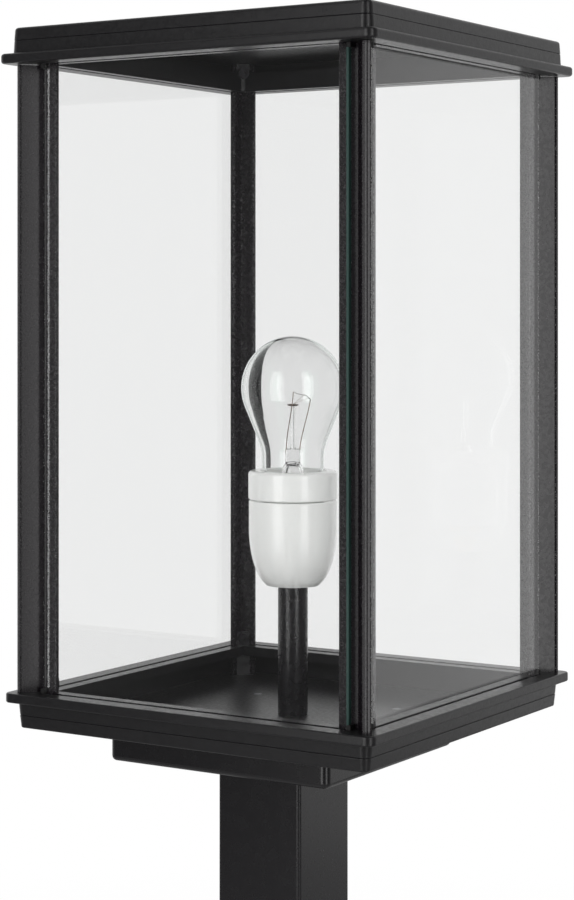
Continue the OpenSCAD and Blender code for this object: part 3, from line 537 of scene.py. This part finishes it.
def addThreads(s):
    finishPiece(threaded(s["cap"], s), "threadedCap", finishes["cap_nickel"], s["smooth"], "bulb",
                "cap_nickel", "bulb_cap")
    finishPiece(threaded(s["shell"], s), "threadedShell", finishes["brass"], s["smooth"], "stand", "brass",
                "holder_shell")


addThreads(threadSettings)
print("lamp built")

# The camera looks level from beside the head; the picture is shifted down and to the right, as in a crop
cameraSettings = {"azimuth": 32.57, "distance": 1316.96, "aside": 20.33, "height": 645.50, "focalPx": 2235.17,
                  "axisPx": 260.0, "horizonPx": 297.2, "widthPx": 574, "heightPx": 900, "sensor": 36.0,
                  "nearClip": 0.05}


def placeCamera(s):
    a = radians(s["azimuth"])
    right, ahead = Vector((cos(a), sin(a), 0)), Vector((-sin(a), cos(a), 0))
    spot = (-s["aside"] * right - s["distance"] * ahead) * mm
    spot.z = s["height"] * mm
    bpy.ops.object.camera_add(location=spot, rotation=(pi / 2, 0, a))
    camera = bpy.context.object
    camera.data.sensor_width = s["sensor"]
    camera.data.lens = s["focalPx"] / s["heightPx"] * s["sensor"]
    camera.data.shift_x = (s["widthPx"] / 2 - s["axisPx"]) / s["heightPx"]
    camera.data.shift_y = (s["horizonPx"] - s["heightPx"] / 2) / s["heightPx"]
    camera.data.clip_start = s["nearClip"]
    bpy.context.scene.camera = camera


placeCamera(cameraSettings)

# Two tall soft boxes in front, turned from the camera's own direction
boxSettings = [{"turn": -40.0, "width": 0.55, "radiance": 3.0},
               {"turn": 29.0, "width": 0.41, "radiance": 3.0}]
boxPlace = {"distance": 1.25, "height": 1.6, "middle": 0.66}


def addSoftBox(s, where):
    a = radians(cameraSettings["azimuth"] + s["turn"])
    spot = Vector((sin(a), -cos(a), 0)) * where["distance"]
    bpy.ops.object.light_add(type="AREA", location=(spot.x, spot.y, where["middle"]), rotation=(pi / 2, 0, a))
    light = bpy.context.object
    light.data.shape = "RECTANGLE"
    light.data.size = s["width"]
    light.data.size_y = where["height"]
    light.data.energy = s["radiance"] * pi * s["width"] * where["height"]


for s in boxSettings:
    addSoftBox(s, boxPlace)

# White room: white behind the lantern, whether seen straight, through glass or mirrored, and dim in front
roomSettings = {"fill": 0.8, "frontMirror": 0.1, "turnFrom": -0.5, "turnTo": 1.0}


def lightRoom(s):
    world = bpy.data.worlds.new("studioRoom")
    bpy.context.scene.world = world
    world.use_nodes = True
    tree = world.node_tree
    tree.nodes.clear()
    rays = addNode(tree, "ShaderNodeLightPath")
    place = addNode(tree, "ShaderNodeTexCoord")
    a = radians(cameraSettings["azimuth"])
    away = addNode(tree, "ShaderNodeVectorMath", {0: (place, "Generated")}, {1: (-sin(a), cos(a), 0)},
                   operation="DOT_PRODUCT")
    mirror = addNode(tree, "ShaderNodeMapRange", {"Value": (away, "Value")},
                     {"From Min": s["turnFrom"], "From Max": s["turnTo"], "To Min": s["frontMirror"],
                      "To Max": 1.0}, interpolation_type="SMOOTHSTEP")
    # a ray that has met only glass sees plain white on every side
    bounces = addNode(tree, "ShaderNodeMath", {0: (rays, "Glossy Depth"), 1: (rays, "Diffuse Depth")},
                      operation="ADD")
    straight = addNode(tree, "ShaderNodeMath", {0: (bounces, "Value")}, {1: 0.5}, operation="LESS_THAN")
    clear = addNode(tree, "ShaderNodeMix", {"Factor": (straight, "Value"), "A": (mirror, "Result")}, {"B": 1.0},
                    data_type="FLOAT")
    through = addNode(tree, "ShaderNodeMath", {0: (rays, "Is Camera Ray"), 1: (rays, "Is Transmission Ray")},
                      operation="MAXIMUM")
    seen = addNode(tree, "ShaderNodeMath", {0: (through, "Value"), 1: (rays, "Is Glossy Ray")},
                   operation="MAXIMUM")
    level = addNode(tree, "ShaderNodeMix", {"Factor": (seen, "Value"), "B": (clear, "Result")}, {"A": s["fill"]},
                    data_type="FLOAT")
    sky = addNode(tree, "ShaderNodeBackground", {"Strength": (level, "Result")}, {"Color": (1, 1, 1, 1)})
    addNode(tree, "ShaderNodeOutputWorld", {"Surface": (sky, "Background")})


lightRoom(roomSettings)

# Pale floor: a round sheet whose rim melts into the white room
floorSettings = {"radius": 1.3, "corners": 96, "below": 0.0005, "plainTo": 0.45, "whiteFrom": 0.97,
                 "paper": "#f4f4f4", "share": 0.72, "mirrored": 0.25}


def layFloor(s):
    bpy.ops.mesh.primitive_circle_add(vertices=s["corners"], radius=s["radius"], fill_type="TRIFAN",
                                      location=(0, 0, -s["below"]))
    floor = bpy.context.object
    floor.name = "studioFloor"
    material, tree, output = newMaterial("paperPale")
    place = addNode(tree, "ShaderNodeTexCoord")
    reach = addNode(tree, "ShaderNodeVectorMath", {0: (place, "Object")}, operation="LENGTH")
    rim = addNode(tree, "ShaderNodeMapRange", {"Value": (reach, "Value")},
                  {"From Min": s["plainTo"], "From Max": s["radius"] * s["whiteFrom"], "To Min": s["share"],
                   "To Max": 1.0}, interpolation_type="SMOOTHSTEP")
    paper = addNode(tree, "ShaderNodeBsdfDiffuse", None, {"Color": linear(s["paper"])})
    rays = addNode(tree, "ShaderNodeLightPath")
    glowLevel = addNode(tree, "ShaderNodeMapRange", {"Value": (rays, "Is Glossy Ray")},
                        {"To Min": 1.0, "To Max": s["mirrored"]})
    glow = addNode(tree, "ShaderNodeEmission", {"Strength": (glowLevel, "Result")})
    straight = addNode(tree, "ShaderNodeMath", {0: (rays, "Is Camera Ray"), 1: (rays, "Is Transmission Ray")},
                       operation="MAXIMUM")
    seen = addNode(tree, "ShaderNodeMath", {0: (straight, "Value"), 1: (rays, "Is Glossy Ray")},
                   operation="MAXIMUM")
    share = addNode(tree, "ShaderNodeMath", {0: (seen, "Value"), 1: (rim, "Result")}, operation="MULTIPLY")
    mix = addNode(tree, "ShaderNodeMixShader", {0: (share, "Value"), 1: (paper, "BSDF"), 2: (glow, "Emission")})
    tree.links.new(mix.outputs["Shader"], output.inputs["Surface"])
    floor.data.materials.append(material)


layFloor(floorSettings)
print("camera, lights, room and floor set")

bpy.context.scene.view_settings.view_transform = "Standard"
